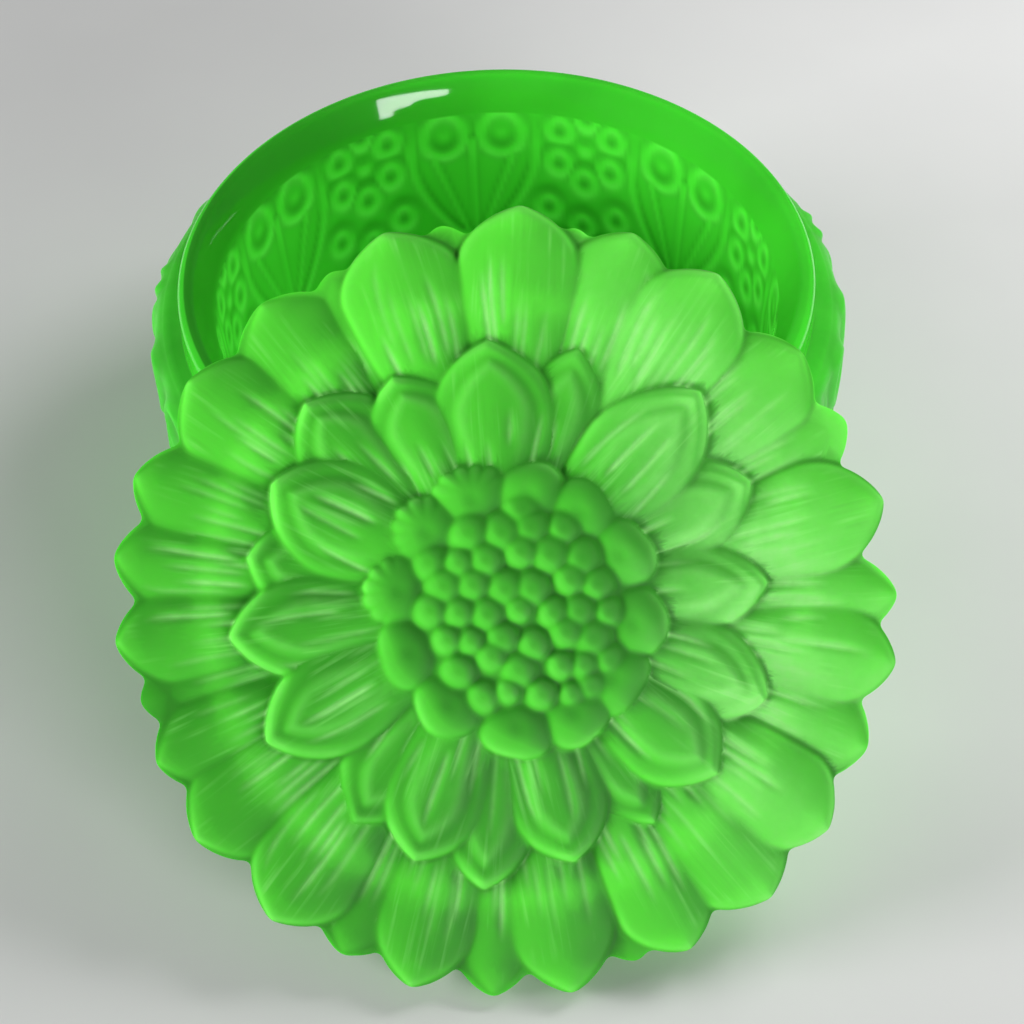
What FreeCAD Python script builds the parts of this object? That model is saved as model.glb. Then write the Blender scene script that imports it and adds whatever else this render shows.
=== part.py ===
import FreeCAD, Part
import os
import Sketcher

# A covered powder jar of pressed glass: a bowl with a plain neck and a relief of
# palmettes and ring flowers, and a sunflower lid. The bowl stands on its foot with
# its axis on Z. The lid leans on the bowl's front rim, its lowest petals on the table.
# Lengths are in millimetres and angles in degrees.

SIZES = {
    # bowl
    "bowl_height": 54.0,
    "foot_radius": 50.0,
    "foot_round": 2.0,
    "wall_radius": 61.8,
    "wall_start": 20.0,
    "neck_radius": 57.3,
    "neck_height": 7.0,
    "shoulder_round": 2.0,
    "rim_round": 1.6,
    "mouth_round": 8.0,
    "bevel_width": 4.0,
    "bevel_height": 6.0,
    "mouth_radius": 50.8,
    "well_radius": 48.4,
    "floor_thickness": 8.0,
    "well_round": 9.0,
    "motif_count": 7,
    "bowl_turn": 4.5,
    "relief_height": 1.7,
    "relief_stock": 4.0,
    "relief_root": 5.0,
    "curl_radius": 5.6,
    "curl_hole": 2.2,
    "curl_spread": 7.0,
    "curl_level": 39.0,
    "stem_level": 12.0,
    "stem_width": 1.5,
    "flower_level": 36.5,
    "flower_spread": 7.0,
    "ring_radius": 2.9,
    "ring_hole": 1.1,
    "berry_level": 18.0,
    "berry_rise": 3.5,
    "berry_spread": 9.0,
    "berry_radius": 3.1,
    "berry_hole": 1.2,
    # lid, measured from the plane that rests on the closed bowl's rim
    "lid_radius": 65.0,
    "seat_ring_radius": 50.0,
    "seat_ring_width": 3.4,
    "seat_ring_depth": 3.6,
    "hollow_depth": 2.5,
    "plate_radius": 57.0,
    "plate_edge": 3.0,
    "plate_crown": 8.2,
    "petal_pairs": 15,
    "petal_root": 34.0,
    "petal_width": 20.0,
    "petal_top": 4.6,
    "back_petal_width": 17.0,
    "back_petal_top": 3.6,
    "inner_petals": 18,
    "inner_root": 17.0,
    "inner_tip": 44.5,
    "inner_width": 17.0,
    "inner_thickness": 3.0,
    "inner_level": 6.6,
    "inner_slope": 5.0,
    "head_radius": 23.5,
    "head_level": 6.0,
    "head_rise": 6.6,
    "lump_count": 12,
    "lump_radius": 4.6,
    "lump_ring": 19.6,
    "lump_level": 7.6,
    "seed_radius": 3.2,
    "outer_seed_ring": 13.0,
    "outer_seed_level": 9.6,
    "inner_seed_ring": 6.6,
    "inner_seed_level": 10.4,
    # how the lid leans
    "lean_angle": 39.5,
    "lean_gap": 0.3,
    "table_gap": 0.2,
}

SHEET = "Sizes"


def size(name):
    """An expression that reads one cell of the sheet."""
    return SHEET + "." + name


def build_sheet(doc):
    """The spreadsheet that drives every sub-part: a name and a number on each row."""
    sheet = doc.addObject("Spreadsheet::Sheet", SHEET)
    for row, (name, value) in enumerate(SIZES.items(), start=1):
        sheet.set("A%d" % row, name)
        sheet.set("B%d" % row, str(value))
        sheet.setAlias("B%d" % row, name)
    doc.recompute()
    return sheet


def add_body(doc, label):
    body = doc.addObject("PartDesign::Body", label)
    body.Label = label
    return body


def origin_feature(body, role):
    return next(item for item in body.Origin.OriginFeatures if item.Role == role)


def attach(feature, body, role):
    """Attach a sketch or primitive to one of the body's own origin planes."""
    feature.AttachmentSupport = [(origin_feature(body, role), "")]
    feature.MapMode = "FlatFace"


def add_sketch(body, name, role, height=None, tilt=None):
    """A sketch on one of the body's own origin planes, raised and tilted by expressions."""
    sketch = body.newObject("Sketcher::SketchObject", name)
    attach(sketch, body, role)
    if height:
        sketch.setExpression(".AttachmentOffset.Base.z", height)
    if tilt:
        sketch.AttachmentOffset.Rotation = FreeCAD.Rotation(FreeCAD.Vector(0, 1, 0), 1)
        sketch.setExpression(".AttachmentOffset.Rotation.Angle", tilt)
    return sketch


def drive(sketch, kind, geometry, expression):
    """Add a dimension to the sketch and bind it to an expression."""
    value = float(sketch.evalExpression(expression))
    index = sketch.addConstraint(Sketcher.Constraint(kind, *geometry, value))
    sketch.setExpression("Constraints[%d]" % index, expression)


def place_point(sketch, geometry, point, across, up):
    """Fix one point of the sketch at two expressions from the sketch's origin."""
    drive(sketch, "DistanceX", (-1, 1, geometry, point), across)
    drive(sketch, "DistanceY", (-1, 1, geometry, point), up)


def closed_outline(sketch, corners):
    """A closed run of straight lines through corners, each a pair of expressions."""
    spots = []
    for across, up in corners:
        x = float(sketch.evalExpression(across))
        y = float(sketch.evalExpression(up))
        spots.append(FreeCAD.Vector(x, y, 0))
    lines = []
    for start, end in zip(spots, spots[1:] + spots[:1]):
        lines.append(sketch.addGeometry(Part.LineSegment(start, end)))
    for line, after in zip(lines, lines[1:] + lines[:1]):
        sketch.addConstraint(Sketcher.Constraint("Coincident", line, 2, after, 1))
    for line, (across, up) in zip(lines, corners):
        place_point(sketch, line, 1, across, up)


def circle(sketch, across, up, radius):
    """A circle whose centre and radius are expressions."""
    x = float(sketch.evalExpression(across))
    y = float(sketch.evalExpression(up))
    spot = FreeCAD.Vector(x, y, 0)
    reach = float(sketch.evalExpression(radius))
    index = sketch.addGeometry(Part.Circle(spot, FreeCAD.Vector(0, 0, 1), reach))
    place_point(sketch, index, 3, across, up)
    drive(sketch, "Radius", (index,), radius)


def petal_outline(sketch, root, tip, width):
    """A pointed oval along the sketch's X axis: two arcs that meet at root and tip."""
    start = float(sketch.evalExpression(root))
    end = float(sketch.evalExpression(tip))
    half = float(sketch.evalExpression(width)) / 2
    ends = (FreeCAD.Vector(start, 0, 0), FreeCAD.Vector(end, 0, 0))
    radius = "((%s - %s)^2 + %s^2) / (4 * %s)" % (tip, root, width, width)
    for side in (1, -1):
        middle = FreeCAD.Vector((start + end) / 2, side * half, 0)
        arc = sketch.addGeometry(Part.Arc(ends[0], middle, ends[1]))
        first = sketch.getPoint(arc, 1)
        root_point = 1 if first.distanceToPoint(ends[0]) < 1e-6 else 2
        place_point(sketch, arc, root_point, root, "0")
        place_point(sketch, arc, 3 - root_point, tip, "0")
        drive(sketch, "Radius", (arc,), radius)


def revolve(body, name, sketch):
    turned = body.newObject("PartDesign::Revolution", name)
    turned.Profile = (sketch, [""])
    turned.ReferenceAxis = (sketch, ["V_Axis"])
    turned.Angle = 360
    sketch.Document.recompute()
    return turned


def turn_away(body, name, sketch):
    """Groove the body all round with the sketch, and make sure that it cuts."""
    before = body.Shape.Volume
    groove = body.newObject("PartDesign::Groove", name)
    groove.Profile = (sketch, [""])
    groove.ReferenceAxis = (sketch, ["V_Axis"])
    groove.Angle = 360
    body.Document.recompute()
    if groove.Shape.Volume > before - 1:
        raise RuntimeError(name + " removed nothing")
    return groove


def pad(body, name, sketch, length, reverse=False):
    raised = body.newObject("PartDesign::Pad", name)
    raised.Profile = (sketch, [""])
    raised.setExpression("Length", length)
    raised.Reversed = reverse
    sketch.Document.recompute()
    return raised


def round_circles(body, name, base, spots, radius):
    """Fillet the circular edges whose radius and height match one of the spots."""
    edges = []
    for index, edge in enumerate(base.Shape.Edges, start=1):
        if not isinstance(edge.Curve, Part.Circle):
            continue
        for reach, level in spots:
            near = abs(edge.Curve.Radius - reach) < 0.01
            if near and abs(edge.Curve.Center.z - level) < 0.01:
                edges.append("Edge%d" % index)
    if len(edges) != len(spots):
        raise RuntimeError("%s found %d of %d edges" % (name, len(edges), len(spots)))
    fillet = body.newObject("PartDesign::Fillet", name)
    fillet.Base = (base, edges)
    fillet.setExpression("Radius", radius)
    body.Document.recompute()
    return fillet


def repeat_round(body, name, features, count):
    """Repeat the features round the body's Z axis and make the pattern its tip."""
    pattern = body.newObject("PartDesign::PolarPattern", name)
    pattern.Originals = features
    pattern.Axis = (origin_feature(body, "Z_Axis"), [""])
    pattern.Angle = 360
    pattern.setExpression("Occurrences", count)
    body.Tip = pattern
    body.Document.recompute()
    return pattern


def ball(body, name, reach, level, radius):
    """A glass bead whose centre lies at an expression out from the axis and up."""
    bead = body.newObject("PartDesign::AdditiveSphere", name)
    attach(bead, body, "XY_Plane")
    bead.setExpression("Radius", radius)
    bead.setExpression(".AttachmentOffset.Base.x", reach)
    bead.setExpression(".AttachmentOffset.Base.z", level)
    body.Document.recompute()
    return bead


def bowl_profile(body):
    """The bowl's section: flat foot, flared and straight wall, neck, bevelled mouth and well."""
    shoulder = size("bowl_height") + " - " + size("neck_height")
    sketch = add_sketch(body, "BowlSection", "XZ_Plane")
    closed_outline(sketch, [
        ("0", "0"),
        (size("foot_radius"), "0"),
        (size("wall_radius"), size("wall_start")),
        (size("wall_radius"), shoulder),
        (size("neck_radius"), shoulder),
        (size("neck_radius"), size("bowl_height")),
        (size("mouth_radius") + " + " + size("bevel_width"), size("bowl_height")),
        (size("mouth_radius"), size("bowl_height") + " - " + size("bevel_height")),
        (size("well_radius"), size("floor_thickness")),
        ("0", size("floor_thickness")),
    ])
    return sketch


def round_bowl(body, turned):
    """Soften the turned bowl: foot, shoulder, rim, mouth and the bottom of the well."""
    height = SIZES["bowl_height"]
    shoulder = height - SIZES["neck_height"]
    foot = round_circles(body, "FootRound", turned, [(SIZES["foot_radius"], 0)], size("foot_round"))
    shoulder_spot = [(SIZES["wall_radius"], shoulder)]
    soft = round_circles(body, "ShoulderRound", foot, shoulder_spot, size("shoulder_round"))
    inner_rim = SIZES["mouth_radius"] + SIZES["bevel_width"]
    rim_spots = [(SIZES["neck_radius"], height), (inner_rim, height)]
    rim = round_circles(body, "RimRound", soft, rim_spots, size("rim_round"))
    mouth_spot = [(SIZES["mouth_radius"], height - SIZES["bevel_height"])]
    mouth = round_circles(body, "MouthRound", rim, mouth_spot, size("mouth_round"))
    well_spot = [(SIZES["well_radius"], SIZES["floor_thickness"])]
    return round_circles(body, "WellRound", mouth, well_spot, size("well_round"))


def relief_sketch(body, name, turn):
    """An upright sketch in front of the wall, turned round the bowl's axis."""
    sketch = add_sketch(body, name, "XZ_Plane")
    reach = "(%s + %s)" % (size("wall_radius"), size("relief_stock"))
    sketch.AttachmentOffset.Rotation = FreeCAD.Rotation(FreeCAD.Vector(0, 1, 0), 1)
    sketch.setExpression(".AttachmentOffset.Rotation.Angle", turn)
    sketch.setExpression(".AttachmentOffset.Base.x", "%s * sin(%s)" % (reach, turn))
    sketch.setExpression(".AttachmentOffset.Base.z", "%s * cos(%s)" % (reach, turn))
    return sketch


def pad_relief(body, name, sketch):
    """Raise a motif's outline as stock that reaches from in front of the wall into it."""
    length = size("relief_stock") + " + " + size("relief_root")
    return pad(body, name, sketch, length, reverse=True)


def trim_relief(body):
    """Turn the stock down, so that the relief stands evenly off the flare and the wall."""
    sketch = add_sketch(body, "TrimSection", "XZ_Plane")
    height = size("relief_height")
    outside = "%s + 3 * %s" % (size("wall_radius"), size("relief_stock"))
    closed_outline(sketch, [
        (size("foot_radius") + " + " + height, "0"),
        (size("wall_radius") + " + " + height, size("wall_start")),
        (size("wall_radius") + " + " + height, size("bowl_height")),
        (outside, size("bowl_height")),
        (outside, "0"),
    ])
    return turn_away(body, "ReliefTurned", sketch)


def flower(body):
    """Ring flower: a button inside six small rings, with three berries below it."""
    sketch = relief_sketch(body, "FlowerOutline", "0")
    level = size("flower_level")
    circle(sketch, "0", level, size("ring_radius"))
    for petal in range(6):
        angle = 60 * petal + 30
        across = "%s * cos(%d)" % (size("flower_spread"), angle)
        up = "%s + %s * sin(%d)" % (level, size("flower_spread"), angle)
        circle(sketch, across, up, size("ring_radius"))
        circle(sketch, across, up, size("ring_hole"))
    for step in (-1, 0, 1):
        across = "%d * %s" % (step, size("berry_spread"))
        up = "%s + %d * %s" % (size("berry_level"), abs(step), size("berry_rise"))
        circle(sketch, across, up, size("berry_radius"))
        circle(sketch, across, up, size("berry_hole"))
    return pad_relief(body, "Flower", sketch)


def palmette(body):
    """Palmette, half a step on from the flower: two curls over three spreading stems."""
    turn = "180 / " + size("motif_count")
    sketch = relief_sketch(body, "PalmetteOutline", turn)
    level = size("curl_level")
    for side in (-1, 1):
        across = "%d * %s" % (side, size("curl_spread"))
        circle(sketch, across, level, size("curl_radius"))
        circle(sketch, across, level, size("curl_hole"))
    width = size("stem_width")
    for side in (-1, 0, 1):
        foot = "%d * 1.2 * %s" % (side, width)
        top = "%d * 1.5 * %s" % (side, size("curl_spread"))
        low = size("stem_level")
        high = "%s - %s - %s" % (level, size("curl_radius"), width)
        closed_outline(sketch, [
            ("%s - %s / 2" % (foot, width), low),
            ("%s + %s / 2" % (foot, width), low),
            ("%s + %s" % (top, width), high),
            ("%s - %s" % (top, width), high),
        ])
    return pad_relief(body, "Palmette", sketch)


def build_bowl(doc):
    """The bowl, with its relief repeated round the wall between foot and shoulder."""
    body = add_body(doc, "bowl")
    turned = revolve(body, "BowlTurned", bowl_profile(body))
    round_bowl(body, turned)
    flowers = flower(body)
    repeat_round(body, "FlowerRound", [flowers], size("motif_count"))
    palmettes = palmette(body)
    repeat_round(body, "PalmetteRound", [palmettes], size("motif_count"))
    tip = trim_relief(body)
    body.Placement.Rotation = FreeCAD.Rotation(FreeCAD.Vector(0, 0, 1), SIZES["bowl_turn"])
    body.setExpression(".Placement.Rotation.Angle", size("bowl_turn"))
    return body, tip


def lid_profile(body):
    """The lid's plate in section, with the stock of the seat ring below it."""
    sketch = add_sketch(body, "PlateSection", "XZ_Plane")
    closed_outline(sketch, [
        ("0", "-" + size("seat_ring_depth")),
        (size("seat_ring_radius"), "-" + size("seat_ring_depth")),
        (size("seat_ring_radius"), "0"),
        (size("plate_radius"), "0"),
        (size("plate_radius"), size("plate_edge")),
        (size("head_radius"), size("plate_crown")),
        ("0", size("plate_crown")),
    ])
    return sketch


def turned_sketch(body, name, turn):
    """A flat sketch on the seat plane, turned round the lid's axis."""
    sketch = add_sketch(body, name, "XY_Plane")
    sketch.AttachmentOffset.Rotation = FreeCAD.Rotation(FreeCAD.Vector(0, 0, 1), 1)
    sketch.setExpression(".AttachmentOffset.Rotation.Angle", turn)
    return sketch


def outer_petals(body):
    """Broad outer petals from the seat plane up, and lower ones in the gaps between."""
    broad = turned_sketch(body, "PetalOutline", "-90")
    petal_outline(broad, size("petal_root"), size("lid_radius"), size("petal_width"))
    front = pad(body, "Petal", broad, size("petal_top"))
    repeat_round(body, "PetalRound", [front], size("petal_pairs"))
    narrow = turned_sketch(body, "BackPetalOutline", "-90 + 180 / " + size("petal_pairs"))
    petal_outline(narrow, size("petal_root"), size("lid_radius"), size("back_petal_width"))
    back = pad(body, "BackPetal", narrow, size("back_petal_top"))
    repeat_round(body, "BackPetalRound", [back], size("petal_pairs"))


def inner_petals(body):
    """Raised inner petals that slope down and out from under the seed head."""
    sketch = add_sketch(body, "InnerOutline", "XY_Plane", size("inner_level"), size("inner_slope"))
    petal_outline(sketch, size("inner_root"), size("inner_tip"), size("inner_width"))
    petal = pad(body, "InnerPetal", sketch, size("inner_thickness"))
    repeat_round(body, "InnerPetalRound", [petal], size("inner_petals"))


def hollow(body):
    """The shallow hollow underneath, which leaves the seat ring standing round it."""
    inside = size("seat_ring_radius") + " - " + size("seat_ring_width")
    sketch = add_sketch(body, "HollowSection", "XZ_Plane")
    closed_outline(sketch, [
        ("0", "-2 * " + size("seat_ring_depth")),
        (inside, "-2 * " + size("seat_ring_depth")),
        (inside, size("hollow_depth")),
        ("0", size("hollow_depth")),
    ])
    return turn_away(body, "Hollow", sketch)


def seed_head(body):
    """The domed seed head: a low dome, a ring of lumps at its edge and seeds inside."""
    dome = body.newObject("PartDesign::AdditiveEllipsoid", "HeadDome")
    attach(dome, body, "XY_Plane")
    dome.setExpression("Radius1", size("head_rise"))
    dome.setExpression("Radius2", size("head_radius"))
    dome.setExpression("Radius3", size("head_radius"))
    dome.Angle1 = 0
    dome.setExpression(".AttachmentOffset.Base.z", size("head_level"))
    body.Document.recompute()
    lump = ball(body, "Lump", size("lump_ring"), size("lump_level"), size("lump_radius"))
    repeat_round(body, "LumpRound", [lump], size("lump_count"))
    outer = ball(body, "OuterSeed", size("outer_seed_ring"), size("outer_seed_level"), size("seed_radius"))
    repeat_round(body, "OuterSeedRound", [outer], size("lump_count"))
    inner = ball(body, "InnerSeed", size("inner_seed_ring"), size("inner_seed_level"), size("seed_radius"))
    repeat_round(body, "InnerSeedRound", [inner], size("lump_count") + " / 2")


def lean_lid(body):
    """Lean the lid on the front of the bowl's rim, its lowest petals just off the table.

    The rim's rounding touches the lid's hollow underside, less a small gap, and the
    lid's height comes from its lowest petals.
    """
    angle = size("lean_angle")
    depth = "(%s - %s + %s)" % (size("rim_round"), size("hollow_depth"), size("lean_gap"))
    up = "%s + %s * sin(%s)" % (size("table_gap"), size("lid_radius"), angle)
    rim_level = "(%s - %s)" % (size("bowl_height"), size("rim_round"))
    rim_reach = "(%s - %s)" % (size("neck_radius"), size("rim_round"))
    above = "(%s + %s * cos(%s) - (%s))" % (rim_level, depth, angle, up)
    out = "-%s - %s * sin(%s) - %s / tan(%s)" % (rim_reach, depth, angle, above, angle)
    body.Placement.Rotation = FreeCAD.Rotation(FreeCAD.Vector(1, 0, 0), SIZES["lean_angle"])
    body.setExpression(".Placement.Rotation.Angle", angle)
    body.setExpression(".Placement.Base.y", out)
    body.setExpression(".Placement.Base.z", up)


def build_lid(doc):
    """The sunflower lid, built flat and then leaned on the bowl."""
    body = add_body(doc, "lid")
    revolve(body, "PlateTurned", lid_profile(body))
    outer_petals(body)
    inner_petals(body)
    seed_head(body)
    last = hollow(body)
    lean_lid(body)
    return body, last


def check(doc, bodies):
    """Stop unless every object computed and every sub-part is one valid closed solid."""
    for item in doc.Objects:
        if "Invalid" in item.State or "Error" in item.State:
            raise RuntimeError("%s: %s" % (item.Name, item.State))
    for body in bodies:
        shape = body.Shape
        if shape.isNull() or not shape.isValid() or len(shape.Solids) != 1:
            raise RuntimeError("%s is not one valid solid" % body.Label)
        box = shape.optimalBoundingBox(True, False)
        print("%s: %.0f mm3, x %.1f..%.1f, y %.1f..%.1f, z %.1f..%.1f" % (
            body.Label, shape.Volume, box.XMin, box.XMax, box.YMin, box.YMax, box.ZMin, box.ZMax))


def main():
    doc = FreeCAD.newDocument("PowderJar")
    build_sheet(doc)
    bowl, bowl_tip = build_bowl(doc)
    bowl.Tip = bowl_tip
    lid, lid_tip = build_lid(doc)
    lid.Tip = lid_tip
    doc.recompute()
    check(doc, [bowl, lid])
    print("lid and bowl share %.3f mm3" % bowl.Shape.common(lid.Shape).Volume)
    print("lid stands %.2f mm off the bowl" % bowl.Shape.distToShape(lid.Shape)[0])
    os.makedirs("parts", exist_ok=True)
    for body in (bowl, lid):
        body.Shape.exportStep(os.path.join("parts", body.Label + ".step"))


main()
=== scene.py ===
"""Looks of a pressed-glass powder jar: a relief bowl and its frosted sunflower lid."""

import logging
import math
from dataclasses import dataclass, field
from enum import Enum
from typing import Sequence, Union

import bpy
import numpy as np
from mathutils import Matrix, Vector


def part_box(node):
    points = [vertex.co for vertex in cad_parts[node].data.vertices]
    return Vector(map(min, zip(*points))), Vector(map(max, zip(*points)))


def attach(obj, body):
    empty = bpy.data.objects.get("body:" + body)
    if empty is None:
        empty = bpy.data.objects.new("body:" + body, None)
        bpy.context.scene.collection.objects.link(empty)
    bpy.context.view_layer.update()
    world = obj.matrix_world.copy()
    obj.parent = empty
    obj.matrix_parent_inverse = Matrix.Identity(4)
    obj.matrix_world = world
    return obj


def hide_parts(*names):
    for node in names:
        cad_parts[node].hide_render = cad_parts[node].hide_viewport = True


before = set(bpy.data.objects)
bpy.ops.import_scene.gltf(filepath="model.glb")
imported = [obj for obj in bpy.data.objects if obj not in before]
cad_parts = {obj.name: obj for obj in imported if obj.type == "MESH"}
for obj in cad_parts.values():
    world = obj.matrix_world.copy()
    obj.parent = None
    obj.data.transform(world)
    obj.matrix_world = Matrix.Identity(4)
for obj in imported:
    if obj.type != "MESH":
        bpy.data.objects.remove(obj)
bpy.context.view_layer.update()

MM = 0.001
TURN = 2 * math.pi

Array = np.ndarray
Value = Union["Wire", float]
Point = tuple[float, float]
Colour = tuple[float, float, float, float]

log = logging.getLogger("powder_jar")


# ---------------------------------------------------------------- shader maths


class Wire:
    """A shader socket that takes part in Python expressions."""

    def __init__(self, graph: "Graph", socket: bpy.types.NodeSocket) -> None:
        """Wrap one output socket of a graph."""
        self.graph = graph
        self.socket = socket

    def _math(self, operation: str, *values: Value) -> "Wire":
        """Add one Math node.

        Args:
            operation: the Math node's operation.
            values: its inputs, in order.

        Returns:
            The node's output.
        """
        return self.graph.add("ShaderNodeMath", {"operation": operation}, dict(enumerate(values)))

    def __add__(self, other: Value) -> "Wire":
        """self + other."""
        return self._math("ADD", self, other)

    def __sub__(self, other: Value) -> "Wire":
        """self - other."""
        return self._math("SUBTRACT", self, other)

    def __rsub__(self, other: Value) -> "Wire":
        """other - self."""
        return self._math("SUBTRACT", other, self)

    def __mul__(self, other: Value) -> "Wire":
        """self * other."""
        return self._math("MULTIPLY", self, other)

    __radd__ = __add__
    __rmul__ = __mul__

    def clamped(self) -> "Wire":
        """The value held between 0 and 1."""
        low = self._math("MAXIMUM", self, 0.0)
        return self._math("MINIMUM", low, 1.0)


class Graph:
    """The node tree of one material."""

    def __init__(self, name: str) -> None:
        """Start an empty material of that name."""
        self.material = bpy.data.materials.new(name)
        self.material.use_nodes = True
        self.tree = self.material.node_tree
        self.tree.nodes.clear()

    def add(self, kind: str, settings: dict, inputs: dict, output: Union[int, str] = 0) -> Wire:
        """Add a node, set its settings first and then its inputs.

        Args:
            kind: the node's type.
            settings: attributes of the node.
            inputs: socket names or numbers, each with a value or a wire.
            output: which output to return.

        Returns:
            The chosen output, as a wire.
        """
        node = self.tree.nodes.new(kind)
        for name, value in settings.items():
            setattr(node, name, value)
        for key, value in inputs.items():
            if isinstance(value, Wire):
                self.tree.links.new(value.socket, node.inputs[key])
            else:
                node.inputs[key].default_value = value
        return Wire(self, node.outputs[output])

    def attribute(self, name: str) -> Wire:
        """A number that the piece holds at each of its vertices."""
        return self.add("ShaderNodeAttribute", {"attribute_name": name}, {}, "Fac")

    def mix(self, factor: Value, low: Union[Wire, Colour], high: Union[Wire, Colour]) -> Wire:
        """A colour between two colours.

        Args:
            factor: 0 for low and 1 for high.
            low: first colour.
            high: second colour.

        Returns:
            The mixed colour.
        """
        settings = {"data_type": "RGBA", "clamp_factor": True}
        return self.add("ShaderNodeMix", settings, {0: factor, 6: low, 7: high}, 2)

    def noise(self, scale: float, detail: float) -> Wire:
        """Noise on the piece's own coordinates.

        Args:
            scale: features per metre.
            detail: octaves.

        Returns:
            The noise, from 0 to 1.
        """
        place = self.add("ShaderNodeTexCoord", {}, {}, "Object")
        return self.add("ShaderNodeTexNoise", {}, {"Vector": place, "Scale": scale, "Detail": detail})

    def fibres(self, across: float, along: float) -> Wire:
        """Fine lines that follow each petal, on its own coordinates in millimetres.

        Args:
            across: lines per millimetre across the petal.
            along: changes per millimetre along it.

        Returns:
            The noise, from 0 to 1.
        """
        spot = {"X": self.attribute("across"), "Y": self.attribute("along")}
        place = self.add("ShaderNodeCombineXYZ", {}, spot)
        mapped = self.add("ShaderNodeMapping", {}, {"Vector": place, "Scale": (across, along, 1.0)})
        return self.add("ShaderNodeTexNoise", {}, {"Vector": mapped, "Scale": 1.0, "Detail": 2.0})

    def finish(self, shader: Wire) -> bpy.types.Material:
        """Send the shader to the material's output.

        Args:
            shader: the surface shader.

        Returns:
            The finished material.
        """
        node = self.tree.nodes.new("ShaderNodeOutputMaterial")
        self.tree.links.new(shader.socket, node.inputs["Surface"])
        return self.material


@dataclass(frozen=True)
class GreenGlass:
    """Green pressed glass, either etched to a satin skin or left polished.

    deep, body and thin are its colour from the thickest glass to the thinnest, and pale
    the whitish colour of creases; all four also serve as painted light and painted shade.
    scatter is how far light creeps under the skin, in metres, and glow the strength of a
    painted glow, sent out as emission, that stands in for light coming through.
    """

    name: str
    deep: Colour
    body: Colour
    thin: Colour
    pale: Colour
    roughness: float
    scatter: float
    glow: float
    gloss: float

    def material(self) -> bpy.types.Material:
        """Build the material.

        Each vertex carries thick (thin glass at 0, thickest at 1, with painted light and shade
        mixed in), pale (whitish creases and painted light), shade (painted shade: 1 in a hollow
        or on a dark flank), frost (0 polished to 1 etched) and streak (how much fibres show);

        Returns:
            The finished material.
        """
        graph = Graph(self.name)
        names = ("thickness_and_painted_light", "pale", "shade", "frost", "streak")
        thickness_and_painted_light, pale, shade, frost, streak = (graph.attribute(name) for name in names)
        cloud = graph.noise(38.0, 3.0)
        grainy = graph.noise(420.0, 3.0)
        fibre = graph.fibres(0.85, 0.045)
        patch = ((graph.noise(110.0, 1.0) - 0.42) * 5.0).clamped()
        lines = ((fibre - 0.53) * 5.0).clamped() * streak * patch
        furrows = ((0.5 - fibre) * 3.0).clamped() * streak * patch
        depth = (thickness_and_painted_light + (cloud - 0.5) * 0.35).clamped()
        colour = graph.mix(depth, self.thin, self.body)
        colour = graph.mix((depth * 2.0 - 1.0).clamped(), colour, self.deep)
        # shade darkens the colour as painted shade; pale whitens creases and adds painted light
        colour = graph.mix((shade * 0.8).clamped(), colour, self.deep)
        colour = graph.mix(furrows * 0.20, colour, self.deep)
        whitish = (pale * (0.55 + grainy * 0.6) + lines * 0.35).clamped() * 0.8
        colour = graph.mix(whitish, colour, self.pale)
        # painted glow: the colour is sent out as emission, brightest where the glass is thin and
        # unshaded, in place of light coming through
        lit = ((1.15 - depth) * (1.0 - shade * 0.9) + pale * 0.3).clamped()
        through = graph.mix(lit, (0.0, 0.0, 0.0, 1.0), colour)
        grain = graph.noise(5200.0, 2.0)
        mottle = graph.noise(700.0, 3.0)
        rough = frost * (self.roughness - 0.06) + 0.06 + frost * (mottle - 0.5) * 0.16
        relief = grain * 0.35 + mottle * 0.65 + (fibre - 0.5) * streak * 1.8
        skin = {"Strength": 0.10, "Distance": 0.00012, "Height": relief * frost}
        bump = graph.add("ShaderNodeBump", {}, skin, "Normal")
        shader = graph.add("ShaderNodeBsdfPrincipled", {}, {
            "Base Color": colour,
            "Roughness": rough.clamped(),
            "IOR": 1.5,
            "Normal": bump,
            "Subsurface Weight": 1.0,
            "Subsurface Radius": (0.35, 1.0, 0.25),
            "Subsurface Scale": self.scatter,
            "Specular IOR Level": self.gloss,
            "Coat Weight": (1.0 - frost) * 0.3,
            "Coat Roughness": 0.03,
            "Emission Color": through,
            "Emission Strength": self.glow,
        })
        return graph.finish(shader)


@dataclass(frozen=True)
class PaintedFloor:
    """Matt pale floor with a faint mottle."""

    name: str = "pale_floor"
    light: Colour = (0.80, 0.80, 0.79, 1.0)
    dark: Colour = (0.74, 0.74, 0.735, 1.0)

    def material(self) -> bpy.types.Material:
        """Build the material."""
        graph = Graph(self.name)
        colour = graph.mix(graph.noise(22.0, 4.0), self.dark, self.light)
        shader = graph.add("ShaderNodeBsdfPrincipled", {}, {"Base Color": colour, "Roughness": 0.75})
        return graph.finish(shader)


# ---------------------------------------------------------------- modelling


def deselect() -> None:
    """Deselect every object."""
    bpy.ops.object.select_all(action="DESELECT")


def pick(*pieces: bpy.types.Object) -> bpy.types.Object:
    """Select just these objects and make the first one active.

    Args:
        pieces: objects to select.

    Returns:
        The active object.
    """
    deselect()
    for piece in pieces:
        piece.select_set(True)
    bpy.context.view_layer.objects.active = pieces[0]
    return pieces[0]


def steps_between(start: Point, end: Point, pitch: float) -> list:
    """Points along a straight run, without its start.

    Args:
        start: first point.
        end: last point.
        pitch: wanted distance between points.

    Returns:
        The points after start, up to and with end.
    """
    length = math.dist(start, end)
    count = max(1, round(length / pitch))
    return [
        (start[0] + (end[0] - start[0]) * k / count, start[1] + (end[1] - start[1]) * k / count)
        for k in range(1, count + 1)
    ]


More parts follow.
